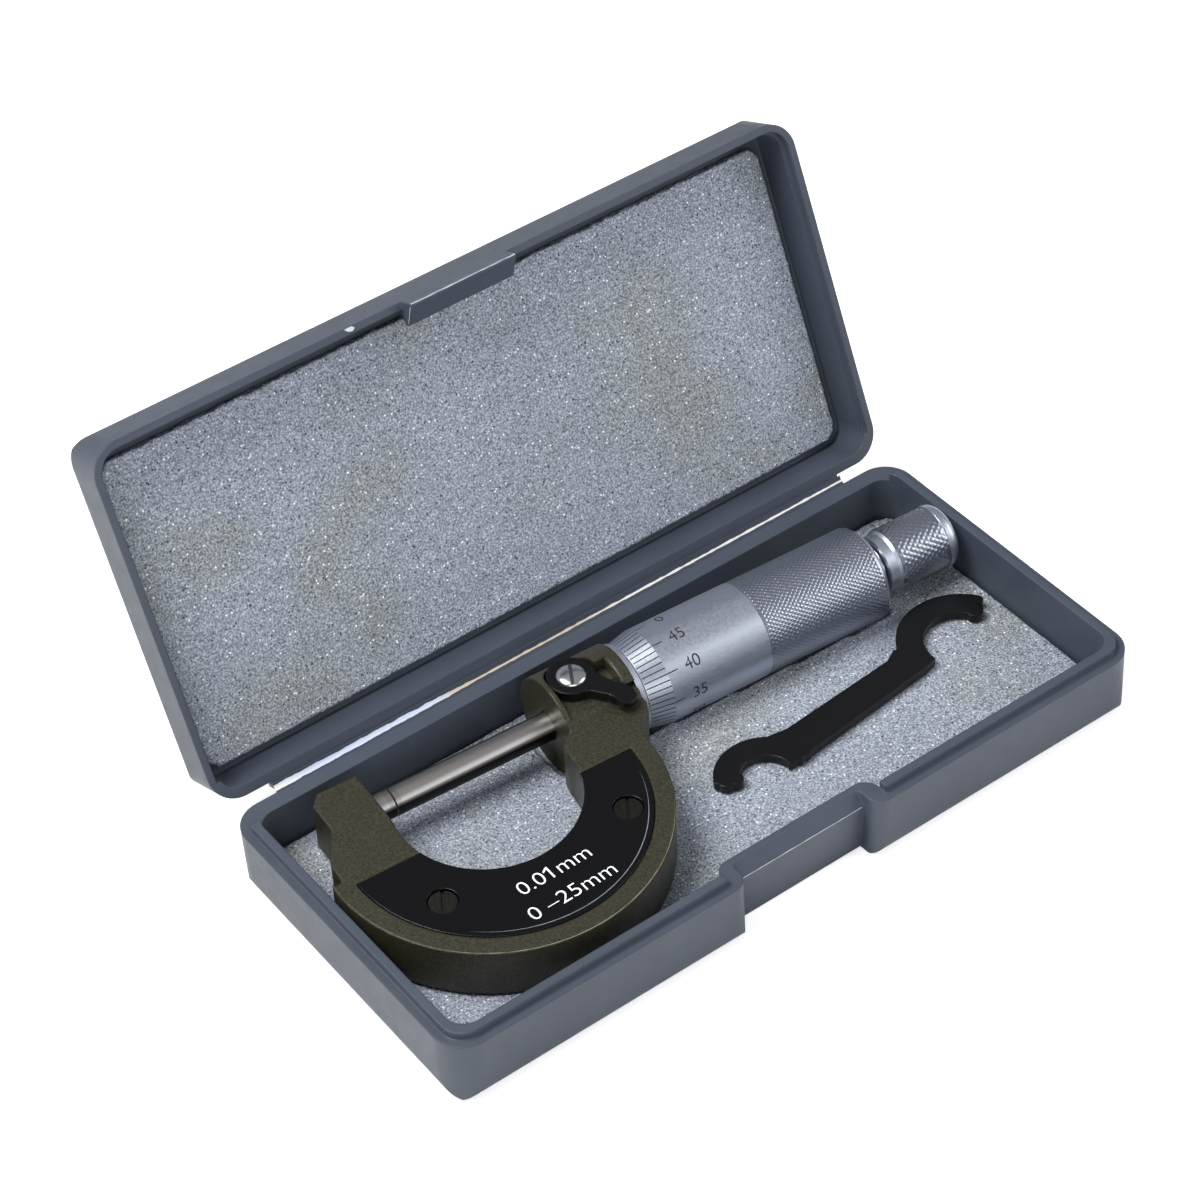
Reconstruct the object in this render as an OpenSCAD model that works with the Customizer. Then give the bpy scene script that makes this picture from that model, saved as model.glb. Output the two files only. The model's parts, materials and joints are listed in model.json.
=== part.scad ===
// Moulded micrometer case with a film-hinged lid, foam pads, its micrometer and a hook spanner.
// Millimetres, +Z up. Origin is the centre of the tray's underside.

/* [Case] */
// Room between the micrometer's ends and the end walls, both together
end_room = 3.1; // [2.6:0.1:6]
// Room between the micrometer's frame and the front wall
front_room = 4.5; // [3.5:0.1:12]
// Height of the tray's shoulder above the table
base_h = 12.7; // [12:0.1:16]
// Height of the lid from its rim to its outside face
lid_h = 10.2; // [10:0.1:16]
// Thickness of the lid's walls
lid_wall = 1.9; // [1.7:0.1:2.5]
// Wall thickness at the rim
wall = 3.1; // [2.8:0.1:4]
// Floor and lid panel thickness
panel_t = 1.5; // [1.2:0.1:2]
// Outside radius of the upright corners
corner_r = 5.5; // [4:0.1:9]
// Outside rounding of the bottom and top edges
edge_r = 2.8; // [1:0.1:3]
// Gap left between the closed lid and the tray
rim_gap = 0.3; // [0.25:0.05:0.4]
// Height of the tongue that stands up inside the lid
tongue_h = 1.4; // [1:0.1:2]

/* [Latch] */
// Width of the finger recess in the front wall
recess_w = 26; // [20:1:36]
// How far the recess steps in below its lip
recess_d = 4.2; // [3.4:0.1:4.6]
// Width of the lid's latch tab
tab_w = 21; // [12:1:24]
// How far the tab hangs below the lid's rim
tab_drop = 3.1; // [2.5:0.1:3.4]
// Depth of the tab's wedge behind the front face
tab_d = 4.4; // [3:0.1:4.6]

/* [Hinge] */
// Length of the two hinge flanges
hinge_l = 120; // [90:1:126]
// Distance of the hinge line behind the case
hinge_out = 1.2; // [1:0.1:2]
// How far the hinge line lies below the tray's shoulder
hinge_drop = 0.7; // [0.5:0.1:1]
// Thickness of the hinge film
film_t = 0.4; // [0.3:0.05:0.6]
// Lid opening angle in the photo
lid_open = 112.9; // [95:0.1:140]

/* [Foam] */
// Thickness of the foam pad in the tray
foam_t = 2.5; // [2.3:0.1:2.8]
// Thickness of the foam pad in the lid
lid_foam_t = 1.7; // [1.2:0.1:1.7]

/* [Micrometer] */
// Spindle axis height above the table
axis_z = 11; // [10.9:0.05:11.2]
// Turn of the micrometer in the tray, seen from above
mic_yaw = -3.77; // [-5:0.1:0]
// Lean of the frame towards the front wall
mic_tilt = 2.2; // [1:0.1:2.3]
// Frame thickness
frame_t = 9.6; // [8.5:0.1:9.8]
// Gap of the frame from the anvil's head to the boss
throat_w = 34; // [30:0.5:40]
// Length of the plain part of the thimble
plain_l = 24; // [20:0.5:30]
// Length of the knurled part of the thimble
knurl_l = 25.2; // [20:0.5:30]
// Length of the ratchet knob
knob_l = 14.6; // [12:0.5:18]
// Radius of the frame's outer arc
arc_r = 29.3; // [28:0.1:30]
// Radius of the frame's throat
throat_r = 15.8; // [14:0.1:16.5]
// Spindle and anvil diameter
spindle_d = 5; // [4.6:0.1:6.6]
// Thimble diameter
thimble_d = 17.4; // [16.8:0.1:17.6]
// Sleeve diameter
sleeve_d = 12.4; // [11.6:0.1:12.8]
// Ratchet knob diameter
ratchet_d = 11.8; // [10:0.1:13]
// Opening between the measuring faces at rest
face_gap = 0.3; // [0.3:0.1:0.6]
// Depth of the cover plates in the frame
plate_t = 1.4; // [1:0.1:1.8]
// Radial clearance of the running fits
run_fit = 0.05; // [0.02:0.01:0.1]

/* [Spanner] */
// Spanner thickness
spanner_t = 1.6; // [1.2:0.1:2]

/* [Hidden] */
$fn = 64;
rs = spindle_d/2;
rb = rs + run_fit;
rt = thimble_d/2;
rsl = sleeve_d/2;
rk = ratchet_d/2;
ft = frame_t/2;
knurl_depth = 0.2;

// Stations along the spindle, measured from the anvil's face
head_in = -3.5;
head_out = head_in - 9.1;
boss_a = head_in + throat_w;
seat_r = 4.6;
lock_u = boss_a + seat_r + 0.9;
boss_b = lock_u + 8.6;
thimble_a = boss_b + 1.4;
bevel_l = 4.4;
knurl_a = thimble_a + plain_l;
knurl_b = knurl_a + knurl_l;
neck_b = knurl_b + 2.1;
knob_a = neck_b + 0.3;
knob_b = knob_a + knob_l;
nut_a = knurl_a - 2.6;
nut_b = knurl_a + 5.2;
spindle_end = knurl_b - 5.8;
throat_u = head_in + throat_w/2 - 1.7;
throat_n = -11.4;
arc_u = throat_u - 1;
arc_n = -15.3;
plate_r = arc_r - 3.5;
plate_end = -16;
screw_du = (throat_r + plate_r)/2 - 3.4;
screw_n = throat_n - throat_r/2 - 7.3;
lock_n = 0.9;
flat_z = 5.9;

// The case is moulded round the micrometer
left_out = arc_r - arc_u;
case_l = left_out + knob_b + end_room + 2*wall;
case_w = rt + 0.6 + arc_r - arc_n + front_room + 2*wall;
cx = case_l/2;
cy = case_w/2;
seam_x = -cx + wall + 1.8 + left_out;
seam_y = cy - wall - 0.6 - rt;
hinge_y = cy + hinge_out;
hinge_z = base_h - hinge_drop;
lid_z = base_h + rim_gap;
lid_top = lid_z + lid_h;
tongue_t = 1.5;
skirt_t = wall - tongue_t - rim_gap;
foam_top = panel_t + foam_t;
lid_foam_z = lid_top - panel_t - lid_foam_t;
flange_gap = 0.15;
flange_t = 1;
bulge_d = recess_d + 1.9;
lip_d = recess_d - 0.9;
top_d = tab_d + 0.6;
recess_r = 2.6;
span_z = foam_top + 0.3;
big_x = cx - wall - 12.9;
small_x = big_x - 46.2;
big_y = seam_y - 26;
small_y = seam_y - 30.1;

// Block with upright rounded corners, centred in plan
module rblock(l, w, r, h) {
  translate([-l/2 + r, -w/2, 0]) cube([l - 2*r, w, h]);
  translate([-l/2, -w/2 + r, 0]) cube([l, w - 2*r, h]);
  for (x = [-1, 1]) for (y = [-1, 1])
    translate([x*(l/2 - r), y*(w/2 - r), 0]) cylinder(r = r, h = h);
}

// Prism along Y whose two lower edges are rounded
module keel(l, w, r, h) {
  translate([-l/2, -w/2, r]) cube([l, w, h - r]);
  translate([-l/2 + r, -w/2, 0]) cube([l - 2*r, w, h]);
  for (x = [-1, 1]) translate([x*(l/2 - r), w/2, r]) rotate([90, 0, 0]) cylinder(r = r, h = w);
}

// Outside of one case half, rounded edges down
module half_outside(h) {
  intersection() {
    rblock(case_l, case_w, corner_r, h);
    keel(case_l, case_w + 2, edge_r, h);
    rotate([0, 0, 90]) keel(case_w, case_l + 2, edge_r, h);
  }
}

// Inside of one case half, from a floor up
module half_inside(z0, h) {
  translate([0, 0, z0])
    rblock(case_l - 2*wall, case_w - 2*wall, corner_r - wall + 1.2, h);
}

// The finger recess seen from above, its outer corners rounded
module recess_plan(h) {
  y0 = -cy;
  difference() {
    union() {
      translate([-recess_w/2, y0 - 1, 0]) cube([recess_w, 1 + top_d - 1.2, h]);
      translate([-recess_w/2 + 1.2, y0 - 1, 0]) cube([recess_w - 2.4, 1 + top_d, h]);
      for (x = [-1, 1]) translate([x*(recess_w/2 - 1.2), y0 + top_d - 1.2, 0]) cylinder(r = 1.2, h = h);
      translate([-recess_w/2 - recess_r, y0 - 1, 0]) cube([recess_w + 2*recess_r, 1 + recess_r, h]);
    }
    for (x = [-1, 1]) translate([x*(recess_w/2 + recess_r), y0 + recess_r, -1]) cylinder(r = recess_r, h = h + 2);
  }
}

// Material that comes out of the recess: upright below the lip, sloping in above it
module recess_cut() {
  intersection() {
    translate([0, 0, -1]) recess_plan(base_h + 6);
    rotate([90, 0, 90]) translate([0, 0, -recess_w]) linear_extrude(height = 2*recess_w)
      polygon([[-cy - 2, -2], [-cy + recess_d, -2], [-cy + recess_d, 0], [-cy + lip_d, base_h - 2.6],
        [-cy + top_d, base_h], [-cy + top_d + 0.1, base_h + 4], [-cy - 2, base_h + 4]]);
  }
}

// The wall that bulges into the tray behind the recess
module recess_bulge(h, grow) {
  bw = recess_w + 2*wall + 2*grow;
  bd = bulge_d + grow;
  translate([-bw/2 + 3, -cy + 1, 0]) cube([bw - 6, bd - 1, h]);
  translate([-bw/2, -cy + 1, 0]) cube([bw, bd - 4, h]);
  for (x = [-1, 1]) translate([x*(bw/2 - 3), -cy + bd - 3, 0]) cylinder(r = 3, h = h);
}

// Rim tongue on the left, front and right
module tongue() {
  difference() {
    translate([0, 0, base_h - 1])
      rblock(case_l - 2*(wall - tongue_t), case_w - 2*(wall - tongue_t), corner_r - wall + tongue_t, tongue_h + 1);
    half_inside(base_h - 2, 6);
    translate([-case_l, cy - wall - 1.5, base_h]) cube([2*case_l, 20, 10]);
    translate([-recess_w/2 - wall, -cy, base_h]) cube([recess_w + 2*wall, wall + 1, 10]);
  }
}

module base_tray() {
  color([0.22, 0.25, 0.29])
  difference() {
    union() {
      difference() {
        half_outside(base_h);
        half_inside(panel_t, base_h);
      }
      intersection() {
        recess_bulge(base_h, 0);
        half_outside(base_h);
      }
      tongue();
      translate([-hinge_l/2, cy - 1, hinge_z - flange_gap - flange_t])
        cube([hinge_l, hinge_out + 1 - flange_gap, flange_t]);
    }
    recess_cut();
  }
}

// Everything of the lid is drawn closed and swung open about the hinge line
module swing() {
  translate([0, hinge_y, hinge_z]) rotate([-lid_open, 0, 0]) translate([0, -hinge_y, -hinge_z]) children();
}

module lid_shell() {
  color([0.22, 0.25, 0.29]) swing() {
    difference() {
      union() {
        difference() {
          translate([0, 0, lid_top]) mirror([0, 0, 1]) half_outside(lid_h);
          translate([0, 0, lid_z - 1])
            rblock(case_l - 2*lid_wall, case_w - 2*lid_wall, corner_r - lid_wall, lid_h - panel_t + 1);
        }
        // hinge flange, standing down behind the tray's back wall
        translate([-hinge_l/2, cy + 0.35, hinge_z + flange_gap])
          cube([hinge_l, hinge_out - 0.35 - flange_gap, lid_z + flange_t - hinge_z - flange_gap]);
        translate([-hinge_l/2, cy - 1, lid_z]) cube([hinge_l, hinge_out + 1 - flange_gap, flange_t]);
      }
      difference() {
        translate([0, 0, lid_z - 1])
          rblock(case_l - 2*skirt_t, case_w - 2*skirt_t, corner_r - skirt_t, 1 + tongue_h + rim_gap);
        translate([-case_l, cy - wall - 1.2, lid_z - 2]) cube([2*case_l, 20, 10]);
      }
    }
    // the latch tab, a wedge that hangs in front of the recess
    rotate([90, 0, 90]) translate([0, 0, -tab_w/2]) linear_extrude(height = tab_w)
      polygon([[-cy, lid_z + 2], [-cy, lid_z - tab_drop], [-cy + 0.5, lid_z - tab_drop],
        [-cy + tab_d, lid_z], [-cy + tab_d, lid_z + 0.5], [-cy + lid_wall, lid_z + 2]]);
  }
}

// Thin web between the two flanges, drawn as it lies with the lid open
module hinge_film() {
  a = -lid_open;
  fy = -flange_gap;
  fz = flange_gap;
  py = fy*cos(a) - fz*sin(a);
  pz = fy*sin(a) + fz*cos(a);
  qy = (fy - film_t)*cos(a) - fz*sin(a);
  qz = (fy - film_t)*sin(a) + fz*cos(a);
  color([0.72, 0.76, 0.82])
    translate([-hinge_l/2, hinge_y, hinge_z]) rotate([90, 0, 90])
      linear_extrude(height = hinge_l)
        polygon([[fy, -fz], [fy, -fz - film_t], [py - 0.03, pz - 0.03], [qy - 0.03, qz - 0.03]]);
}

module base_foam() {
  color([0.53, 0.55, 0.58])
  difference() {
    translate([0, 0, panel_t])
      rblock(case_l - 2*wall - 0.2, case_w - 2*wall - 0.2, corner_r - wall + 1.1, foam_t);
    recess_bulge(base_h, 0.1);
    translate([seam_x, seam_y, axis_z - rt - 0.35]) rotate([0, 0, mic_yaw])
      translate([boss_a - 1, -5.3, 0]) cube([knurl_b - boss_a + 3.5, 10.6, rt]);
  }
}

module lid_foam() {
  color([0.53, 0.55, 0.58]) swing()
    translate([0, 0.75, lid_foam_z])
      rblock(case_l - 6, case_w - 8.1, 3, lid_foam_t);
}

// Micrometer frame of reference: u along the spindle from the anvil face, n across, z up
module mic() {
  translate([seam_x, seam_y, axis_z]) rotate([0, 0, mic_yaw]) rotate([mic_tilt, 0, 0]) children();
}

// Rod or disc on the spindle axis
module rod(a, b, r) {
  translate([a, 0, 0]) rotate([0, 90, 0]) cylinder(r = r, h = b - a);
}

// Room for one cover plate: the ring between throat and rim, below the two ends
module plate_shape(z0, h, inset) {
  difference() {
    translate([arc_u, arc_n, z0]) cylinder(r = plate_r - inset, h = h, $fn = 96);
    translate([throat_u, throat_n, z0 - 1]) cylinder(r = throat_r + inset, h = h + 2, $fn = 96);
    translate([-60, plate_end - inset, z0 - 1]) cube([140, 60, h + 2]);
  }
}

module micrometer_frame() {
  color([0.28, 0.28, 0.20]) mic()
  difference() {
    union() {
      intersection() {
        translate([arc_u, arc_n, -ft]) cylinder(r = arc_r, h = frame_t, $fn = 96);
        translate([-60, -80, -ft]) cube([140, 80 + arc_n + 1, frame_t]);
      }
      translate([0, 0, -ft]) linear_extrude(height = frame_t)
        polygon([[head_out, 2.4], [head_out + 1.8, 4.4], [head_in, 4.4], [head_in, -6],
          [throat_u - throat_r + 0.2, -10], [throat_u - throat_r + 0.8, -20], [arc_u - arc_r + 4, -22],
          [arc_u - arc_r + 0.2, -17.5], [arc_u - arc_r + 0.5, -15.6], [arc_u - arc_r + 1.9, -13.6],
          [head_out - 3.9, -10.6], [head_out - 2.9, -8], [head_out - 0.8, -5.2], [head_out, -3.4]]);
      translate([0, 0, -ft]) linear_extrude(height = frame_t)
        polygon([[throat_u + throat_r - 0.8, -22], [throat_u + throat_r - 0.2, -12], [boss_a - 2.4, -9],
          [boss_a, -7], [boss_a, 0], [boss_b, 0], [boss_b, -8.6], [boss_b - 1, -10.8],
          [arc_u + arc_r + 1, -12.6], [arc_u + arc_r, -15.2], [arc_u + arc_r - 2.3, -20]]);
      rod(boss_a, boss_b, rt);
    }
    translate([throat_u, throat_n, -ft - 1]) cylinder(r = throat_r, h = frame_t + 2, $fn = 96);
    // seat of the lock lever on the boss
    translate([lock_u, lock_n, flat_z]) cylinder(r = seat_r, h = 9);
    translate([lock_u - seat_r, -rt - 2, flat_z]) cube([boss_b - lock_u + seat_r + 1, rt + 2 + lock_n, 9]);
    // cover plate recesses
    plate_shape(ft - plate_t + 0.1, 3, -0.15);
    plate_shape(-ft - 3 + plate_t - 0.1, 3, -0.15);
    // bores: spindle, sleeve seat, anvil seat and lock screw
    rod(boss_a - 1, boss_b - 4, rb);
    rod(boss_b - 5, boss_b + 1, rsl);
    rod(-10.5, head_in + 1, rs);
    translate([lock_u, lock_n, 0]) cylinder(r = 1.5 + run_fit, h = 9, $fn = 32);
    for (s = [-1, 1]) {
      translate([throat_u + s*screw_du, screw_n, ft - 5]) cylinder(r = 1.2, h = 9, $fn = 32);
      translate([throat_u + s*screw_du, screw_n, -ft - 4]) cylinder(r = 1.2, h = 9, $fn = 32);
    }
  }
}

module anvil() {
  color([0.78, 0.78, 0.80]) mic() rod(-10.5, -1, rs);
}

module anvil_tip() {
  color([0.60, 0.60, 0.62]) mic() rod(-1, 0, rs);
}

// One cover plate with its two counterbores
module cover_plate() {
  difference() {
    plate_shape(ft - plate_t + 0.1, plate_t, 0);
    for (s = [-1, 1]) {
      translate([throat_u + s*screw_du, screw_n, 0]) cylinder(r = 1.35, h = 9, $fn = 32);
      translate([throat_u + s*screw_du, screw_n, ft - 0.9]) cylinder(r = 2.6, h = 9, $fn = 48);
    }
  }
}

module front_plate() {
  color([0.04, 0.04, 0.045]) mic() cover_plate();
}

module rear_plate() {
  color([0.04, 0.04, 0.045]) mic() mirror([0, 0, 1]) cover_plate();
}

// Two slotted screws of one cover plate
module plate_screws() {
  for (s = [-1, 1]) translate([throat_u + s*screw_du, screw_n, 0]) difference() {
    union() {
      translate([0, 0, ft - 4.6]) cylinder(r = 1.2, h = 4, $fn = 32);
      translate([0, 0, ft - 0.9]) cylinder(r = 2.35, h = 0.7, $fn = 48);
    }
    rotate([0, 0, 62]) translate([-4, -0.3, ft - 0.6]) cube([8, 0.6, 2]);
  }
}

module front_plate_screws() {
  color([0.16, 0.16, 0.15]) mic() plate_screws();
}

module rear_plate_screws() {
  color([0.16, 0.16, 0.15]) mic() mirror([0, 0, 1]) plate_screws();
}

module sleeve() {
  color([0.76, 0.77, 0.79]) mic()
  difference() {
    union() {
      rod(boss_b - 5, nut_a, rsl);
      rod(boss_b, boss_b + 1.1, rt - 0.5);
      rod(nut_a, nut_b + 0.2, rsl - 1);
    }
    rod(boss_b - 6, nut_b + 1, rs + 1.15);
  }
}

module spindle_nut() {
  color([0.70, 0.62, 0.40]) mic()
  difference() {
    rod(nut_a - 4, nut_b, rs + 1.15);
    rod(nut_a - 5, nut_b + 1, rb);
  }
}

module adjusting_nut() {
  color([0.62, 0.63, 0.65]) mic()
  difference() {
    rod(nut_a + 0.4, nut_b, rsl);
    rod(nut_a, nut_b + 1, rsl - 1);
    for (a = [0, 90]) rotate([a, 0, 0]) translate([nut_b - 1.2, -rt, -0.5]) cube([3, 2*rt, 1]);
  }
}

module spindle() {
  color([0.80, 0.80, 0.82]) mic() rod(face_gap + 1, spindle_end, rs);
}

module spindle_tip() {
  color([0.60, 0.60, 0.62]) mic() rod(face_gap, face_gap + 1, rs);
}

module thimble() {
  color([0.74, 0.75, 0.77]) mic() rotate([0, 90, 0])
    rotate_extrude($fn = 96)
      polygon([[rsl + 0.35, thimble_a], [rt - 0.9, thimble_a], [rt, thimble_a + bevel_l], [rt, knurl_a],
        [rt - knurl_depth, knurl_a + 0.1], [rt - knurl_depth, knurl_b - 0.7],
        [rt - 0.9, knurl_b], [1.6, knurl_b], [1.6, spindle_end + 0.6], [rb, spindle_end + 0.4],
        [rb, nut_b + 4.5], [rsl + 0.35, nut_b + 2]]);
}

module ratchet_stem() {
  color([0.82, 0.82, 0.84]) mic() {
    rod(spindle_end + 1.2, knurl_b, 1.6);
    rod(knurl_b, neck_b, 4);
    rod(neck_b, knob_b - 2.8, 1.6);
  }
}

module ratchet_knob() {
  color([0.72, 0.73, 0.75]) mic() rotate([0, 90, 0])
    difference() {
      union() {
        translate([0, 0, knob_a]) cylinder(r = rk - 0.6, h = 1.7);
        translate([0, 0, knob_a + 1.7]) cylinder(r1 = rk - 0.6, r2 = rk - knurl_depth, h = 0.5);
        translate([0, 0, knob_a + 2.2]) cylinder(r = rk - knurl_depth, h = knob_l - 4.4);
        translate([0, 0, knob_b - 2.2]) cylinder(r = rk, h = 0.6);
        rotate_extrude() intersection() {
          translate([rk - 1.6, knob_b - 1.6]) circle(r = 1.6, $fn = 48);
          translate([0, knob_b - 1.6]) square([rk, 1.6]);
        }
        translate([0, 0, knob_b - 1.7]) cylinder(r = rk - 1.6, h = 1.7);
      }
      translate([0, 0, knob_a - 1]) cylinder(r = 1.6 + run_fit, h = knob_l - 1.3);
      translate([0, 0, knob_a + 2.8]) cylinder(r = rk - 1.6, h = 7);
    }
}

module ratchet_spring() {
  color([0.66, 0.67, 0.70]) mic() rotate([0, 90, 0])
    for (i = [0:3]) translate([0, 0, knob_a + 5.2 + i*1.15]) rotate_extrude($fn = 48)
      translate([3.1, 0]) circle(r = 0.35, $fn = 16);
}

module ratchet_pin() {
  color([0.60, 0.60, 0.62]) mic() translate([knob_a + 3, 3, 0]) rotate([0, 90, 0]) cylinder(r = 0.6, h = 1.6, $fn = 24);
}

module lock_lever() {
  color([0.05, 0.05, 0.055]) mic() translate([lock_u, lock_n, 0])
  difference() {
    union() {
      translate([0, 0, flat_z + 0.3]) cylinder(r = 4.2, h = 1.8);
      rotate([0, 0, -57]) intersection() {
        translate([0, 0, flat_z - 2]) linear_extrude(height = 6)
          polygon([[2, -3], [4.4, -1.9], [7.4, -1.5], [10.4, -1.9], [11.4, -1.1], [11.7, 0], [11.4, 1.1],
            [10.4, 1.9], [7.4, 1.5], [4.4, 1.9], [2, 3]]);
        translate([0, 5, 0]) rotate([90, 0, 0]) linear_extrude(height = 10)
          polygon([[0, flat_z + 0.3], [7.6, flat_z + 0.3], [12.4, flat_z + 0.1], [12.4, flat_z + 0.9],
            [8.4, flat_z + 2.1], [0, flat_z + 2.1]]);
      }
    }
    cylinder(r = 1.5, h = 12, $fn = 32);
  }
}

module lock_screw() {
  color([0.82, 0.82, 0.83]) mic() translate([lock_u, lock_n, 0]) difference() {
    union() {
      translate([0, 0, rs + 1]) cylinder(r = 1.5, h = flat_z + 1.2 - rs, $fn = 32);
      translate([0, 0, flat_z + 2.1]) cylinder(r = 2.6, h = 0.6, $fn = 48);
    }
    rotate([0, 0, 96]) translate([-4, -0.35, flat_z + 2.3]) cube([8, 0.7, 2]);
  }
}

module lock_pad() {
  color([0.70, 0.62, 0.40]) mic() translate([lock_u, lock_n, rs + 0.35]) cylinder(r = 1.4, h = 0.35, $fn = 32);
}

// One hook of the spanner as part of a ring
module hook(ro, ri, a0, a1) {
  n = 6;
  difference() {
    cylinder(r = ro, h = spanner_t, $fn = 96);
    translate([0, 0, -1]) cylinder(r = ri, h = spanner_t + 2, $fn = 64);
    translate([0, 0, -1]) linear_extrude(height = spanner_t + 2)
      polygon(concat([[0, 0]], [for (i = [0:n]) let (a = a1 + i*(360 + a0 - a1)/n) [30*cos(a), 30*sin(a)]]));
  }
}

module spanner() {
  ro = 11.4;
  ri = 6.7;
  so = 8.9;
  si = 4.6;
  color([0.05, 0.05, 0.055]) translate([0, 0, span_z]) {
    translate([big_x, big_y, 0]) {
      hook(ro, ri, 33, 186);
      translate([(ri + 0.9)*cos(33), (ri + 0.9)*sin(33), 0]) cylinder(r = 1.5, h = spanner_t, $fn = 32);
      translate([(ro - 0.9)*cos(34), (ro - 0.9)*sin(34), 0]) cylinder(r = 0.9, h = spanner_t, $fn = 32);
    }
    translate([small_x, small_y, 0]) {
      hook(so, si, -4, 148);
      translate([(si + 0.5)*cos(150), (si + 0.5)*sin(150), 0]) cylinder(r = 1.3, h = spanner_t, $fn = 32);
      translate([(so - 1)*cos(149), (so - 1)*sin(149), 0]) cylinder(r = 1, h = spanner_t, $fn = 32);
      translate([(so + si)/2*cos(151), (so + si)/2*sin(151), 0]) cylinder(r = 1.5, h = spanner_t, $fn = 32);
    }
    // the handle runs from the back of one hook to the back of the other
    linear_extrude(height = spanner_t)
      polygon([[small_x + 4.6, small_y + 7.1], [small_x + 9.4, small_y + 6.3], [big_x - 13.4, big_y + 4],
        [big_x - 10.8, big_y + 5.4], [big_x - 7.6, big_y + 3.1], [big_x - 7.2, big_y - 0.9],
        [big_x - 9.1, big_y - 1.4], [small_x + 8.2, small_y - 0.4], [small_x + 7, small_y - 0.8],
        [small_x + 5, small_y + 0.2]]);
  }
}

base_tray();
lid_shell();
hinge_film();
base_foam();
lid_foam();
micrometer_frame();
anvil();
anvil_tip();
front_plate();
rear_plate();
front_plate_screws();
rear_plate_screws();
sleeve();
spindle_nut();
adjusting_nut();
spindle();
spindle_tip();
thimble();
ratchet_stem();
ratchet_knob();
ratchet_spring();
ratchet_pin();
lock_lever();
lock_screw();
lock_pad();
spanner();
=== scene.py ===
import json
import math
import random

import bpy
from mathutils import Matrix, Vector
from mathutils import noise as mnoise


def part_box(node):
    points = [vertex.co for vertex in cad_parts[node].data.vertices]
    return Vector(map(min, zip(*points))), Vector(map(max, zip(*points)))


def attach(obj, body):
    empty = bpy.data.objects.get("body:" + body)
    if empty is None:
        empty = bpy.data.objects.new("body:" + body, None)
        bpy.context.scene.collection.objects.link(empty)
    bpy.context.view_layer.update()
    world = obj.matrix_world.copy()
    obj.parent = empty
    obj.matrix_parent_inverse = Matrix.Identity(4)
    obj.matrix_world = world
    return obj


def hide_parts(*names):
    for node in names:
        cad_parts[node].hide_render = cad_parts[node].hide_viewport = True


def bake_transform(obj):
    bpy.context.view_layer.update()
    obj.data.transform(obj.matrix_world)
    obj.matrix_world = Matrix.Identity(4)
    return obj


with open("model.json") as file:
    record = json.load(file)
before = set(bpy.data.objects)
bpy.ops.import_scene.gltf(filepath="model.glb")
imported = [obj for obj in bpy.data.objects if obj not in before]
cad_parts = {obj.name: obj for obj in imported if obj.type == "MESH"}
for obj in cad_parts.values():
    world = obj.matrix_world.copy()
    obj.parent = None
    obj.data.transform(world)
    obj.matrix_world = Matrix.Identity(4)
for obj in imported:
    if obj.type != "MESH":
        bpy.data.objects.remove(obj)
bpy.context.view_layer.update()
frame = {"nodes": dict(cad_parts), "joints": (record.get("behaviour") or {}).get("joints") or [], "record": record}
nodes = frame["nodes"]
joints = {joint["name"]: joint for joint in frame["joints"]}

# Lengths are in millimetres, and become metres where a point is placed
MM = 0.001

# Hinge line, and the lid's angle in the photo
HINGE = Vector(joints["lid_hinge"]["pos_m"])
LID_OPEN = math.radians(-joints["lid_hinge"]["range_deg"][0])

# Case: its front face, the recess lip, the shut lid's rim and its latch tab
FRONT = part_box("base_tray")[0][1] / MM
LIP_Z = 10.1
LIP_BACK = 3.285
LID_RIM_Z = 13.0
TAB_HALF = 10.5
TAB_TIP_Z = 9.9
WEB_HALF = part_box("hinge_film")[1][0] / MM

# Where the micrometer lies: u along the spindle, n across it, w up out of its face, from the seam of its jaws
YAW = math.radians(-3.77)
TILT = math.radians(2.2)
SEAM = Vector((-46.6, 19.9, 11.0)) * MM
MIC = Matrix.Translation(SEAM) @ Matrix.Rotation(YAW, 4, "Z") @ Matrix.Rotation(TILT, 4, "X")

# Micrometer: radii, places along u, and as (u, n) the centre of its arc and its lock screw
THIMBLE_R = 8.7
THIMBLE_START = 46.0
BEVEL_LEN = 4.4
BEVEL_DROP = 0.9
THIMBLE_KNURL = (70.15, 94.45)
THIMBLE_TEETH = 66
KNOB_R = 5.9
KNOB_KNURL = (99.85, 109.95)
KNOB_TEETH = 34
KNURL_DEPTH = 0.2
KNURL_CLEAR = 0.01
ARC = (10.8, -15.3)
PLATE_FACE = 4.9
FRAME_FACE = 4.8
LOCK = (36.0, 0.9)

# How far print, lines and wear stand off what they lie on
PROUD = 0.012


def srgb(r, g, b):
    """Linear colour from 0 to 255 display values."""
    out = []
    for v in (r, g, b):
        v /= 255
        out.append(v / 12.92 if v <= 0.04045 else ((v + 0.055) / 1.055) ** 2.4)
    return (*out, 1)


def grey(value):
    """A value from 0 to 1 as a colour."""
    return (value, value, value, 1)


def new_material(name, colour, rough, metal=0.0, spec=0.5):
    """A plain material, with its node tree and its shader."""
    material = bpy.data.materials.new(name)
    material.use_nodes = True
    shader = material.node_tree.nodes["Principled BSDF"]
    shader.inputs["Base Color"].default_value = colour
    shader.inputs["Roughness"].default_value = rough
    shader.inputs["Metallic"].default_value = metal
    shader.inputs["Specular IOR Level"].default_value = spec
    return material, material.node_tree, shader


def feed(tree, value, socket):
    """Puts a number, a colour or another node's output into a socket."""
    if isinstance(value, bpy.types.NodeSocket):
        tree.links.new(value, socket)
    else:
        socket.default_value = value


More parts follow.
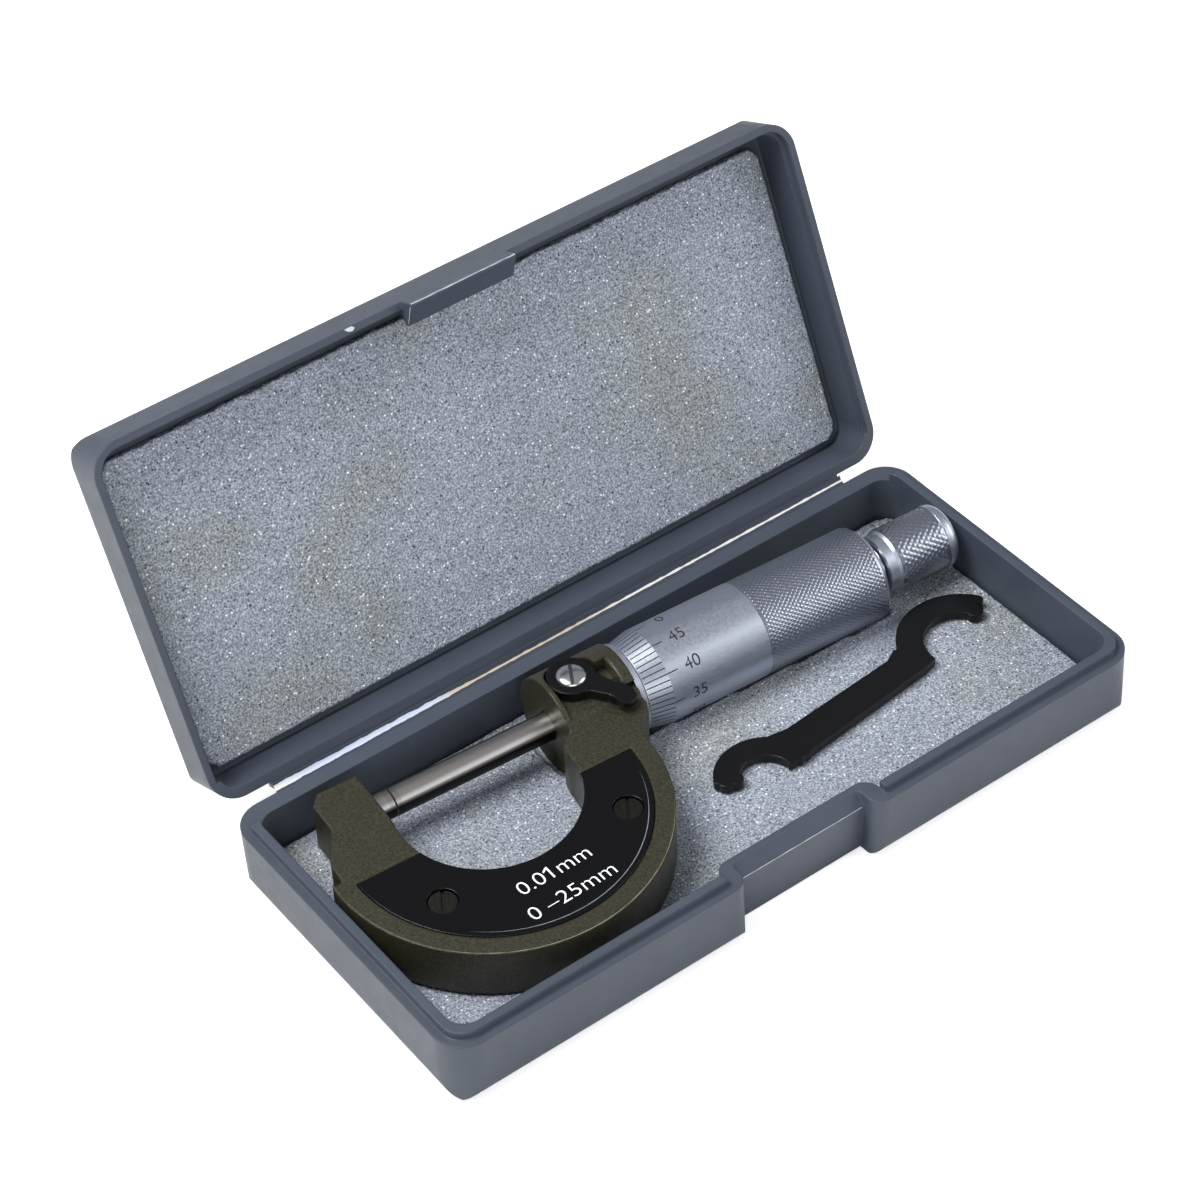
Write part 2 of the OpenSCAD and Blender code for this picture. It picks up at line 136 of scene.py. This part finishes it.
def noise(tree, scale, detail, rough=0.5):
    """Soft noise over the object's own coordinates."""
    where = tree.nodes.new("ShaderNodeTexCoord")
    texture = tree.nodes.new("ShaderNodeTexNoise")
    texture.inputs["Scale"].default_value = scale
    texture.inputs["Detail"].default_value = detail
    texture.inputs["Roughness"].default_value = rough
    tree.links.new(where.outputs["Object"], texture.inputs["Vector"])
    return texture.outputs["Fac"]


def cells(tree, scale):
    """Cell pattern over the object's own coordinates."""
    where = tree.nodes.new("ShaderNodeTexCoord")
    pattern = tree.nodes.new("ShaderNodeTexVoronoi")
    pattern.inputs["Scale"].default_value = scale
    tree.links.new(where.outputs["Object"], pattern.inputs["Vector"])
    return pattern


def ramp(tree, fac, stops):
    """Colours by value, from a list of places and colours."""
    node = tree.nodes.new("ShaderNodeValToRGB")
    elements = node.color_ramp.elements
    while len(elements) < len(stops):
        elements.new(0.5)
    for element, (place, colour) in zip(elements, stops):
        element.position = place
        element.color = colour
    tree.links.new(fac, node.inputs["Fac"])
    return node.outputs["Color"]


def mix(tree, fac, a, b, blend="MIX"):
    """Colour a where fac is 0 and b where it is 1, or their product."""
    node = tree.nodes.new("ShaderNodeMix")
    node.data_type = "RGBA"
    node.blend_type = blend
    for index, value in ((0, fac), (6, a), (7, b)):
        feed(tree, value, node.inputs[index])
    return node.outputs[2]


def maths(tree, operation, *values):
    """Result of one operation on numbers or other nodes' outputs."""
    node = tree.nodes.new("ShaderNodeMath")
    node.operation = operation
    for value, socket in zip(values, node.inputs):
        feed(tree, value, socket)
    return node.outputs[0]


def bump(tree, shader, height, strength, distance, edge=0.0):
    """Surface relief, with edges rounded off over the given width in metres."""
    relief = tree.nodes.new("ShaderNodeBump")
    relief.inputs["Strength"].default_value = strength
    relief.inputs["Distance"].default_value = distance
    if edge:
        bevel = tree.nodes.new("ShaderNodeBevel")
        bevel.samples = 6
        bevel.inputs["Radius"].default_value = edge
        tree.links.new(bevel.outputs["Normal"], relief.inputs["Normal"])
    tree.links.new(height, relief.inputs["Height"])
    tree.links.new(relief.outputs["Normal"], shader.inputs["Normal"])


def spots(tree, scale, lowest, inner, outer):
    """Scattered dots: a share of the cells of a pattern, each with a small round dot."""
    soft = 0.03
    pattern = cells(tree, scale)
    picked = ramp(tree, pattern.outputs["Color"], [(lowest, grey(0)), (lowest + soft, grey(1))])
    near = ramp(tree, pattern.outputs["Distance"], [(inner, grey(1)), (outer, grey(0))])
    return maths(tree, "MULTIPLY", picked, near)


def case_material():
    """Moulded plastic with a satin grain."""
    material, tree, shader = new_material("case_plastic", srgb(62, 69, 79), rough=0.42, spec=0.4)
    shades = [(0.3, srgb(61, 68, 79)), (0.7, srgb(66, 73, 84))]
    colour = ramp(tree, noise(tree, scale=60, detail=5), shades)
    tree.links.new(colour, shader.inputs["Base Color"])
    rough = ramp(tree, noise(tree, scale=350, detail=4), [(0.3, grey(0.38)), (0.7, grey(0.46))])
    tree.links.new(rough, shader.inputs["Roughness"])
    grain = noise(tree, scale=9000, detail=2)
    bump(tree, shader, grain, strength=0.12, distance=0.00006, edge=0.0004)
    return material


def foam_material():
    """Open-cell foam: fine pores, faint stains, painted shade in its holes and painted bright glints."""
    material, tree, shader = new_material("foam", srgb(150, 155, 163), rough=0.9, spec=0.25)
    shades = [(0.31, srgb(80, 86, 95)), (0.50, srgb(145, 150, 158)), (0.69, srgb(206, 211, 219))]
    pores = ramp(tree, noise(tree, scale=3000, detail=3, rough=0.65), shades)
    tints = [(0.36, srgb(230, 231, 222)), (0.56, srgb(243, 246, 252))]
    stains = ramp(tree, noise(tree, scale=38, detail=4), tints)
    colour = mix(tree, 1.0, pores, stains, blend="MULTIPLY")
    # Painted shade as dark dots in the foam's holes, then painted glints as bright dots
    hole_shade = spots(tree, scale=1250, lowest=0.5, inner=0.15, outer=0.28)
    colour = mix(tree, hole_shade, colour, srgb(44, 50, 60))
    glints = spots(tree, scale=1250, lowest=0.7, inner=0.14, outer=0.28)
    colour = mix(tree, glints, colour, srgb(248, 250, 255))
    tree.links.new(colour, shader.inputs["Base Color"])
    bump(tree, shader, cells(tree, scale=2600).outputs["Distance"], strength=0.6, distance=0.0002)
    return material


def enamel_material():
    """Enamel with a fine hammered surface."""
    plain = srgb(50, 48, 37)
    material, tree, shader = new_material("frame_enamel", plain, rough=0.36, metal=0.2, spec=0.4)
    shades = [(0.35, srgb(40, 39, 29)), (0.65, srgb(61, 59, 45))]
    colour = ramp(tree, noise(tree, scale=2600, detail=3), shades)
    tree.links.new(colour, shader.inputs["Base Color"])
    dimples = noise(tree, scale=700, detail=2)
    bump(tree, shader, dimples, strength=0.35, distance=0.0002, edge=0.0006)
    return material


def black_material(name, value, rough, edge):
    """Black surface, hardly uneven, with softened edges."""
    material, tree, shader = new_material(name, srgb(value, value, value + 2), rough, spec=0.28)
    bump(tree, shader, noise(tree, scale=900, detail=2), strength=0.05, distance=0.0001, edge=edge)
    return material


def steel_material(name, colour, rough, grain=0.0):
    """Metal whose polish varies by the grain."""
    material, tree, shader = new_material(name, colour, rough, metal=1.0)
    if grain:
        shades = [(0.3, grey(rough - grain)), (0.7, grey(rough + grain))]
        polish = ramp(tree, noise(tree, scale=2500, detail=3), shades)
        tree.links.new(polish, shader.inputs["Roughness"])
    return material


# Direction towards the ground rods' front underside, and their painted brightness from the far side to there: a
# painted highlight line along the front, painted shade on the underside
ROD_SHADE = (0.0, -0.788, -0.616)
ROD_PAINTED_LIGHT_STOPS = [
    (0.0, 66),
    (0.12, 126),
    (0.48, 166),
    (0.57, 224),
    (0.63, 255),
    (0.70, 170),
    (0.79, 40),
    (1.0, 22),
]


def rod_painted_light_material(name, gain):
    """Ground rod: painted shade towards its underside, with one painted highlight line along its front."""
    material, tree, shader = new_material(name, srgb(120, 115, 110), rough=0.32, metal=0.9)
    surface = tree.nodes.new("ShaderNodeNewGeometry")
    facing = tree.nodes.new("ShaderNodeVectorMath")
    facing.operation = "DOT_PRODUCT"
    facing.inputs[1].default_value = ROD_SHADE
    tree.links.new(surface.outputs["Normal"], facing.inputs[0])
    share = maths(tree, "MULTIPLY_ADD", facing.outputs["Value"], 0.5, 0.5)
    # Painted shade and painted highlight, by which way the rod's surface faces
    stops = [(place, srgb(v * gain, v * gain * 0.98, v * gain * 0.96)) for place, v in ROD_PAINTED_LIGHT_STOPS]
    tree.links.new(ramp(tree, share, stops), shader.inputs["Base Color"])
    return material


def film_material():
    """Web of the hinge: case colour, with a pale line along its middle: whitened film with painted light glowing
    through it, blue and white, either side of a tan strip.
    """
    plain = srgb(60, 67, 78)
    middle = 0.55
    ragged_by = 0.25
    material, tree, shader = new_material("hinge_film", plain, rough=0.4, spec=0.4)
    where = tree.nodes.new("ShaderNodeUVMap")
    split = tree.nodes.new("ShaderNodeSeparateXYZ")
    tree.links.new(where.outputs[0], split.inputs[0])
    along, across = split.outputs[0], split.outputs[1]
    # Blue and white: whitened film with painted light glowing through it; tan: the strip's own colour
    blue, tan, white = srgb(196, 206, 226), srgb(196, 182, 164), srgb(222, 220, 216)
    shades = [(0.0, white), (0.05, blue), (0.27, blue), (0.30, tan), (0.52, tan), (0.60, white)]
    line = ramp(tree, along, shades)
    width = ramp(tree, along, [(0.0, grey(0.3)), (0.27, grey(0.24)), (0.33, grey(0.12))])
    off_middle = maths(tree, "ABSOLUTE", maths(tree, "SUBTRACT", across, middle))
    ragged = maths(tree, "MULTIPLY_ADD", noise(tree, scale=500, detail=3), ragged_by, off_middle)
    inside = maths(tree, "LESS_THAN", ragged, maths(tree, "ADD", width, ragged_by / 2))
    tree.links.new(mix(tree, inside, plain, line), shader.inputs["Base Color"])
    return material


FOAM = foam_material()
ENAMEL = enamel_material()
FILM = film_material()
BRIGHT = steel_material("bright_chrome", srgb(206, 206, 206), rough=0.22)
KNURLED = steel_material("knurled_chrome", srgb(158, 163, 174), rough=0.3)
# Black print for the thimble, also used for the painted shade in the lock screw's slot
INK_AND_SLOT_SHADE = new_material("scale_ink_and_slot_shade", srgb(30, 30, 33), rough=0.6)[0]
WHITE = new_material("print_white", srgb(238, 240, 242), rough=0.5)[0]
WORN = new_material("worn_plastic", srgb(196, 202, 208), rough=0.5)[0]
# Painted highlight along the cover plate's lower edge
PAINTED_EDGE_HIGHLIGHT = new_material("plate_edge_sheen", srgb(120, 124, 132), rough=0.3, spec=0.4)[0]
# Rubbed enamel together with a painted highlight, along the frame's outer edge
RUBBED_AND_HIGHLIGHT = new_material("rubbed_enamel_and_painted_highlight", srgb(128, 124, 104), rough=0.4, metal=0.3)[0]
BY_SLOT = {
    "case_plastic": case_material(),
    "hinge_film": FILM,
    "foam": FOAM,
    "frame_enamel": ENAMEL,
    "cover_plate": black_material("cover_plate", value=5, rough=0.2, edge=0.0003),
    "dark_screw": steel_material("dark_screw", srgb(52, 51, 48), rough=0.42, grain=0.1),
    "satin_chrome": steel_material("satin_chrome", srgb(184, 190, 202), rough=0.4, grain=0.06),
    "bright_chrome": BRIGHT,
    # Ground rods and their carbide tips: painted shade and a painted highlight line
    "polished_steel": rod_painted_light_material("polished_steel", gain=1.0),
    "carbide": rod_painted_light_material("carbide", gain=0.92),
    "brass": steel_material("brass", srgb(190, 164, 98), rough=0.3),
    "black_steel": black_material("black_steel", value=9, rough=0.3, edge=0.0004),
}


def paint(mesh, material):
    """Gives a whole mesh one material."""
    mesh.materials.clear()
    mesh.materials.append(material)
    for polygon in mesh.polygons:
        polygon.material_index = 0


for part in frame["record"]["subparts"]:
    paint(nodes[part["node"]].data, BY_SLOT[part["material_slot"]])


def add_mesh(name, verts, faces, material, body, smooth=True):
    """A new piece from points in metres, riding on a body."""
    mesh = bpy.data.meshes.new(name)
    mesh.from_pydata([tuple(v) for v in verts], [], faces)
    mesh.update()
    for polygon in mesh.polygons:
        polygon.use_smooth = smooth
    mesh.materials.append(material)
    piece = bpy.data.objects.new(name, mesh)
    bpy.context.scene.collection.objects.link(piece)
    if body:
        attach(piece, body)
    return piece


def ribbon_faces(count, first=0):
    """Faces between pairs of points that follow each other along a ribbon."""
    starts = [first + 2 * i for i in range(count)]
    return [(q, q + 1, q + 3, q + 2) for q in starts]


def ring_faces(count, around, inward=False):
    """Faces between closed rings of points that follow each other."""
    faces = []
    for i in range(count):
        for j in range(around):
            here, beside = i * around + j, i * around + (j + 1) % around
            if inward:
                faces.append((here, here + around, beside + around, beside))
            else:
                faces.append((here, beside, beside + around, here + around))
    return faces


def fixed(x, y, z):
    """Point of the case."""
    return Vector((x, y, z)) * MM


def swung(x, y, z):
    """Point of the closed lid, in the open position that the photo shows."""
    c, s = math.cos(LID_OPEN), math.sin(LID_OPEN)
    dy, dz = y * MM - HINGE.y, z * MM - HINGE.z
    return Vector((x * MM, HINGE.y + dy * c + dz * s, HINGE.z - dy * s + dz * c))


def on_mic(u, n, w):
    """Point of the micrometer."""
    return MIC @ (Vector((u, n, w)) * MM)


def on_axis(u, r, a):
    """Point at distance r from the spindle axis; a turns from the micrometer's top to its front."""
    return on_mic(u, -r * math.sin(a), r * math.cos(a))


# Knurling: points along the rim for each tooth, slope of the grooves, and the rings over which they fade out
POINTS_PER_TOOTH = 5
KNURL_SLOPE = 0.75
KNURL_FADE = 3


def zigzag(t):
    """1 at whole numbers, 0 halfway between them."""
    return abs((t % 1.0) * 2 - 1)


def knurl(name, ends, outside, body, teeth):
    """Crossed helical grooves round a cylinder."""
    start, end = ends
    radius = outside - KNURL_DEPTH + KNURL_CLEAR
    girth = 2 * math.pi * radius
    around = teeth * POINTS_PER_TOOTH
    rings = int(round((end - start) / (girth / around)))
    verts = []
    for i in range(rings + 1):
        u = start + (end - start) * i / rings
        fade = min(1.0, min(i, rings - i) / KNURL_FADE)
        twist = (u - start) / girth * KNURL_SLOPE
        for j in range(around):
            s = j / around
            height = min(zigzag(teeth * (s + twist)), zigzag(teeth * (s - twist)))
            verts.append(on_axis(u, radius + KNURL_DEPTH * height * fade, 2 * math.pi * s))
    add_mesh(name, verts, ring_faces(rings, around), KNURLED, body)


knurl("thimble_knurl", THIMBLE_KNURL, THIMBLE_R, "thimble", THIMBLE_TEETH)
knurl("ratchet_knurl", KNOB_KNURL, KNOB_R, "ratchet", KNOB_TEETH)


# Scale of the thimble: the zero line's angle from the top towards the front, then lengths along u
INDEX_AT = -26.0
DIVISIONS = 50
NUMBERED = 5
LINE_LONG = 6.4
LINE_SHORT = 4.4
LINE_GAP = 0.15
LINE_WIDTH = 0.2
LINE_STEPS = 6
NUMBER_AT = 9.4
NUMBER_SIZE = 3.1


def surface_r(u):
    """Thimble radius at u, just proud of its bevel."""
    t = min(1, max(0, (u - THIMBLE_START) / BEVEL_LEN))
    return THIMBLE_R - BEVEL_DROP * (1 - t) + PROUD


def scale_angle(division):
    """Angle of a division's line round the thimble."""
    return math.radians(INDEX_AT + 360 / DIVISIONS * division)


def graduations():
    """Lines round the thimble's front edge, every fifth longer."""
    verts, faces = [], []
    half = LINE_WIDTH / 2 / THIMBLE_R
    start = THIMBLE_START + LINE_GAP
    for division in range(DIVISIONS):
        end = THIMBLE_START + (LINE_SHORT if division % NUMBERED else LINE_LONG)
        faces += ribbon_faces(LINE_STEPS, first=len(verts))
        for i in range(LINE_STEPS + 1):
            u = start + (end - start) * i / LINE_STEPS
            verts += [on_axis(u, surface_r(u), scale_angle(division) + side) for side in (-half, half)]
    add_mesh("thimble_lines", verts, faces, INK_AND_SLOT_SHADE, "thimble")


def text_mesh(words, size, thin=0.0):
    """Outline of some text as points and faces in its own plane."""
    curve = bpy.data.curves.new("text", "FONT")
    curve.body = words
    curve.size = size
    curve.align_x = "CENTER"
    curve.align_y = "CENTER"
    curve.resolution_u = 4
    curve.offset = -thin
    holder = bpy.data.objects.new("text", curve)
    bpy.context.scene.collection.objects.link(holder)
    bpy.context.view_layer.update()
    mesh = holder.to_mesh()
    verts = [v.co.copy() for v in mesh.vertices]
    faces = [tuple(p.vertices) for p in mesh.polygons]
    holder.to_mesh_clear()
    bpy.data.objects.remove(holder)
    bpy.data.curves.remove(curve)
    return verts, faces


def numerals():
    """The thimble's numbers, every five divisions, read with the ratchet on the right."""
    verts, faces = [], []
    for division in range(0, DIVISIONS, NUMBERED):
        letters, outlines = text_mesh(str((DIVISIONS - division) % DIVISIONS), NUMBER_SIZE)
        faces += [tuple(len(verts) + i for i in outline) for outline in outlines]
        for v in letters:
            u = THIMBLE_START + NUMBER_AT + v.x
            verts.append(on_axis(u, surface_r(u), scale_angle(division) - v.y / THIMBLE_R))
    add_mesh("thimble_numbers", verts, faces, INK_AND_SLOT_SHADE, "thimble")


graduations()
numerals()


# Print on the cover plate: its size, how much thinner than the font, and its turn in radians
PRINT_SIZE = 3.9
PRINT_THIN = 0.045
PRINT_TURN = 0.07
# Top left corner of the figure one in the upper line, and the slanted stroke that the font leaves out there
ONE_CORNER = (-0.78, 1.45)
ONE_STROKE = ((0, 0), (-0.7, -0.5), (-0.7, -0.86), (0, -0.4))


def plate_words(name, words, u, n, stretch, one_at=None):
    """A line of print centred on (u, n), with a stroke added to a figure one."""
    letters, faces = text_mesh(words, PRINT_SIZE, PRINT_THIN)
    points = [(v.x, v.y) for v in letters]
    if one_at:
        faces.append(tuple(range(len(points), len(points) + len(ONE_STROKE))))
        points += [(one_at[0] + dx, one_at[1] + dy) for dx, dy in ONE_STROKE]
    c, s = math.cos(PRINT_TURN), math.sin(PRINT_TURN)
    spread = [(x * stretch, y) for x, y in points]
    verts = [on_mic(u + x * c - y * s, n + x * s + y * c, PLATE_FACE + PROUD) for x, y in spread]
    add_mesh(name, verts, faces, WHITE, "micrometer", smooth=False)


plate_words("range_print_top", "0.01mm", 12.2, -31.2, 1.11, one_at=ONE_CORNER)
plate_words("range_print_low", "0 –25mm", 12.3, -36.5, 1.13)


# Section of the hinge web from the tray's flange to the lid's, from the hinge line in y and z
WEB_SECTION = [
    (-0.9, -0.12),
    (-0.45, -0.06),
    (-0.15, 0.02),
    (0.05, 0.1),
    (0.25, 0.3),
    (0.42, 0.62),
    (0.6, 1.0),
]
WEB_STEPS = 60


def hinge_web():
    """The film between the two flanges, a strip that bends about the hinge line."""
    row = len(WEB_SECTION)
    verts, faces = [], []
    for i in range(WEB_STEPS + 1):
        x = -WEB_HALF + 2 * WEB_HALF * i / WEB_STEPS
        verts += [HINGE + fixed(x, y, z) for y, z in WEB_SECTION]
    for i in range(WEB_STEPS):
        for q in range(i * row, i * row + row - 1):
            faces.append((q, q + row, q + row + 1, q + 1))
    web = add_mesh("hinge_web", verts, faces, FILM, None)
    uv = web.data.uv_layers.new(name="UVMap")
    for loop in web.data.loops:
        i, j = divmod(loop.vertex_index, row)
        uv.data[loop.index].uv = (i / WEB_STEPS, j / (row - 1))
    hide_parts("hinge_film")
    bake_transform(web)


hinge_web()


def arc_line(name, radius, width, start, end, face, material, fade):
    """Thin line on the micrometer's face along its arc, from one angle in degrees to another."""
    steps, taper = 60, 14
    verts = []
    rng = random.Random(name)
    for i in range(steps + 1):
        a = math.radians(start + (end - start) * i / steps)
        half = width * min(1, i / taper, (steps - i) / taper) * rng.uniform(1 - fade, 1) / 2
        for r in (radius - half, radius + half):
            verts.append(on_mic(ARC[0] + r * math.cos(a), ARC[1] + r * math.sin(a), face + PROUD))
    add_mesh(name, verts, ribbon_faces(steps), material, "micrometer", smooth=False)


# Painted highlight line along the cover plate's lower edge
arc_line(
    "plate_edge_sheen",
    radius=24.9,
    width=0.16,
    start=228,
    end=348,
    face=PLATE_FACE,
    material=PAINTED_EDGE_HIGHLIGHT,
    fade=0.3,
)
# Pale line along the frame's outer edge: partly rubbed enamel, partly a painted highlight
arc_line(
    "frame_edge_rub",
    radius=29.1,
    width=0.22,
    start=214,
    end=334,
    face=FRAME_FACE,
    material=RUBBED_AND_HIGHLIGHT,
    fade=0.8,
)


def boss_rim():
    """The boss keeps its full round beside the sleeve's collar, behind the lever's seat."""
    start, end, inner, outer, chamfer = 42.4, 44.58, 6.2, 8.68, 0.3
    half_angle, steps = 36, 20
    section = [(start, inner), (start, outer - chamfer), (start + chamfer, outer), (end, outer), (end, inner)]
    corners = len(section)
    verts = []
    for i in range(steps + 1):
        a = math.radians(-half_angle + 2 * half_angle * i / steps)
        verts += [on_axis(u, r, a) for u, r in section]
    ends = [tuple(range(corners - 1, -1, -1)), tuple(range(corners * steps, corners * steps + corners))]
    faces = ring_faces(steps, corners) + ends
    add_mesh("boss_rim", verts, faces, ENAMEL, "micrometer", smooth=False)


def seat_floor():
    """Floor of the lever's seat, over the sleeve."""
    start, end, radius = 40.35, 42.5, 6.24
    half_angle, steps = 18, 6
    angles = [math.radians(-half_angle + 2 * half_angle * i / steps) for i in range(steps + 1)]
    verts = [on_axis(u, radius, a) for a in angles for u in (start, end)]
    add_mesh("seat_floor", verts, ribbon_faces(steps), ENAMEL, "micrometer")


boss_rim()
seat_floor()


# Section of the lock screw's head: radius, and height out of the micrometer's face
HEAD = [
    (0.0, 8.72),
    (0.9, 8.68),
    (1.6, 8.58),
    (2.1, 8.44),
    (2.45, 8.24),
    (2.58, 8.02),
    (2.58, 7.98),
    (0.0, 7.98),
]


def lock_screw_head():
    """Domed slotted head, in place of the plain one."""
    around = 48
    angles = [2 * math.pi * j / around for j in range(around)]
    verts = [on_mic(LOCK[0] + r * math.cos(a), LOCK[1] + r * math.sin(a), z) for r, z in HEAD for a in angles]
    faces = ring_faces(len(HEAD) - 1, around, inward=True)
    head = add_mesh("lock_screw_head", verts, faces, BRIGHT, "lock")
    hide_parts("lock_screw")


def lock_screw_slot_shade():
    """Painted shade of the slot: a dark strip across the dome, following its curve."""
    half_length, half_width, steps = 2.3, 0.3, 10
    top, curve = 8.735, 0.052
    turn = math.radians(64)
    c, s = math.cos(turn), math.sin(turn)
    verts = []
    for i in range(steps + 1):
        t = -half_length + 2 * half_length * i / steps
        for w in (-half_width, half_width):
            verts.append(on_mic(LOCK[0] + t * c - w * s, LOCK[1] + t * s + w * c, top - curve * t * t))
    add_mesh("lock_screw_slot_shade", verts, ribbon_faces(steps), INK_AND_SLOT_SHADE, "lock", smooth=False)


lock_screw_head()
lock_screw_slot_shade()


# Outline of the chip in the lid's rim
CHIP = [(-21.6, -32.2), (-21.0, -31.6), (-20.2, -31.4), (-19.7, -31.75), (-20.1, -32.2), (-20.9, -32.25)]


def rim_chip():
    """Pale chip on the lid's rim, left of the latch tab."""
    verts = [swung(x, y, LID_RIM_Z - PROUD) for x, y in CHIP]
    add_mesh("rim_chip", verts, [tuple(range(len(CHIP)))], WORN, "lid", smooth=False)


# Least and greatest width of a line of wear, as a share of its width across
WEAR_WIDTH = (0.5, 1.3)


def wear(name, points, across, body, place):
    """Thin pale line of wear along an edge, given by its points, with its uneven width across."""
    verts = []
    rng = random.Random(name)
    for point in points:
        width = rng.uniform(*WEAR_WIDTH)
        verts.append(place(*point))
        verts.append(place(*(a + width * b for a, b in zip(point, across))))
    faces = ribbon_faces(len(points) - 1)
    add_mesh(name, verts, faces, WORN, body, smooth=False)


def spaced(half, count):
    """Evenly spaced places from -half to half."""
    return [-half + 2 * half * i / (count - 1) for i in range(count)]


rim_chip()
lip = [(x, FRONT + LIP_BACK, LIP_Z + 0.01) for x in spaced(12.6, 25)]
wear("recess_wear", lip, (0, 0.03, 0.11), "case", fixed)
tab_front = [(x, FRONT - PROUD, TAB_TIP_Z + 0.02) for x in spaced(10.4, 21)]
wear("tab_wear", tab_front, (0, 0, 0.12), "lid", swung)
tab_tip = [(x, FRONT + 0.05, TAB_TIP_Z - 0.01) for x in spaced(10.4, 21)]
wear("tab_tip_wear", tab_tip, (0, 0.13, 0), "lid", swung)
tab_side = [(-TAB_HALF - 0.015, FRONT + 0.5 + 0.39 * i, TAB_TIP_Z + 0.05 + 0.31 * i) for i in range(10)]
wear("tab_side_wear", tab_side, (0, -0.1, 0.08), "lid", swung)


# Foam: mesh size, unevenness of its face with its coarse and fine scale, and how far its cut edges are torn
FOAM_VOXEL = 0.8
FOAM_WAVE = 0.09
FOAM_COARSE = 110
FOAM_FINE = 300
FOAM_EDGE = (-0.42, 0.02)


def foam_pad(name, node, body, lid):
    """Cut foam sheet in place of its plain block: face a little uneven, cut edges rough."""
    block = nodes[node]
    angle = LID_OPEN if lid else 0.0
    shut = Matrix.Translation(HINGE) @ Matrix.Rotation(angle, 4, "X") @ Matrix.Translation(-HINGE)
    pad = bpy.data.objects.new(name, block.data.copy())
    bpy.context.scene.collection.objects.link(pad)
    pad.data.transform(shut @ block.matrix_world)
    voxel = pad.modifiers.new("voxels", "REMESH")
    voxel.mode = "VOXEL"
    voxel.voxel_size = FOAM_VOXEL * MM
    bpy.context.view_layer.update()
    mesh = bpy.data.meshes.new_from_object(pad.evaluated_get(bpy.context.evaluated_depsgraph_get()))
    pad.modifiers.clear()
    pad.data = mesh
    face = -1 if lid else 1
    rng = random.Random(name)
    moves = []
    for v in mesh.vertices:
        side = Vector((v.normal.x, v.normal.y, 0))
        wave = mnoise.noise(v.co * FOAM_COARSE) + 0.5 * mnoise.noise(v.co * FOAM_FINE)
        lift = face * FOAM_WAVE * (wave - 1) if v.normal.z * face > 0.5 else 0.0
        torn = rng.uniform(*FOAM_EDGE) * side.length
        moves.append(side * torn * MM + Vector((0, 0, lift * MM)))
    for v, move in zip(mesh.vertices, moves):
        v.co += move
    mesh.transform(shut.inverted())
    paint(mesh, FOAM)
    for polygon in mesh.polygons:
        polygon.use_smooth = True
    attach(pad, body)
    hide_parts(node)


foam_pad("tray_foam_pad", "base_foam", "case", lid=False)
foam_pad("lid_foam_pad", "lid_foam", "lid", lid=True)


# Camera, fitted to the photo: its place, and its right and up directions
CAMERA_AT = Vector((-235.6, -327.1, 415.05)) * MM
CAMERA_RIGHT = Vector((0.80159, -0.59564, -0.05180))
CAMERA_UP = Vector((0.43518, 0.52185, 0.73370))
CAMERA_LENS = 103.56


def camera():
    """Camera at the photograph's viewing angle."""
    cam = bpy.data.objects.new("camera", bpy.data.cameras.new("camera"))
    bpy.context.scene.collection.objects.link(cam)
    back = CAMERA_RIGHT.cross(CAMERA_UP).normalized()
    up = back.cross(CAMERA_RIGHT).normalized()
    turn = Matrix((CAMERA_RIGHT, up, back)).transposed().to_4x4()
    cam.matrix_world = Matrix.Translation(CAMERA_AT) @ turn
    cam.data.lens = CAMERA_LENS
    cam.data.sensor_width = 36
    cam.data.clip_end = 20
    bpy.context.scene.camera = cam


# What the lights point at, in metres
AIM = Vector((0, 0, 0.02))


def area(name, place, size, power, colour=(1, 1, 1)):
    """Rectangular light, in metres and watts."""
    light = bpy.data.lights.new(name, "AREA")
    light.shape = "RECTANGLE"
    light.size, light.size_y = size
    light.energy = power
    light.color = colour
    lamp = bpy.data.objects.new(name, light)
    lamp.location = place
    lamp.rotation_euler = (AIM - Vector(place)).to_track_quat("-Z", "Y").to_euler()
    bpy.context.scene.collection.objects.link(lamp)


def surroundings():
    """Even pale light from all round."""
    world = bpy.data.worlds.new("world")
    bpy.context.scene.world = world
    world.use_nodes = True
    background = world.node_tree.nodes["Background"]
    background.inputs["Color"].default_value = (0.9, 0.93, 1.0, 1)
    background.inputs["Strength"].default_value = 0.35


def floor_material():
    """Pale floor that glows a little to the camera, so that it comes out white."""
    material, tree, shader = new_material("floor", grey(0.9), rough=0.9)
    glow = tree.nodes.new("ShaderNodeEmission")
    glow.inputs["Color"].default_value = grey(1)
    glow.inputs["Strength"].default_value = 0.55
    both = tree.nodes.new("ShaderNodeAddShader")
    ray = tree.nodes.new("ShaderNodeLightPath")
    choice = tree.nodes.new("ShaderNodeMixShader")
    tree.links.new(shader.outputs[0], both.inputs[0])
    tree.links.new(glow.outputs[0], both.inputs[1])
    tree.links.new(ray.outputs["Is Camera Ray"], choice.inputs[0])
    tree.links.new(shader.outputs[0], choice.inputs[1])
    tree.links.new(both.outputs[0], choice.inputs[2])
    tree.links.new(choice.outputs[0], tree.nodes["Material Output"].inputs["Surface"])
    return material


camera()
area("key", (-0.35, 0.15, 0.75), size=(0.5, 0.4), power=9.0, colour=(1, 0.99, 0.97))
area("fill", (0.7, -0.5, 0.5), size=(0.6, 0.6), power=3.5)
area("front", (-0.4, -0.8, 0.35), size=(0.7, 0.4), power=3.0)
surroundings()

# Floor, a hair below the case
bpy.ops.mesh.primitive_plane_add(size=6, location=(0, 0, -0.0002))
floor = bpy.context.active_object
floor.name = "floor"
floor.data.materials.append(floor_material())

bpy.context.scene.view_settings.view_transform = "Standard"
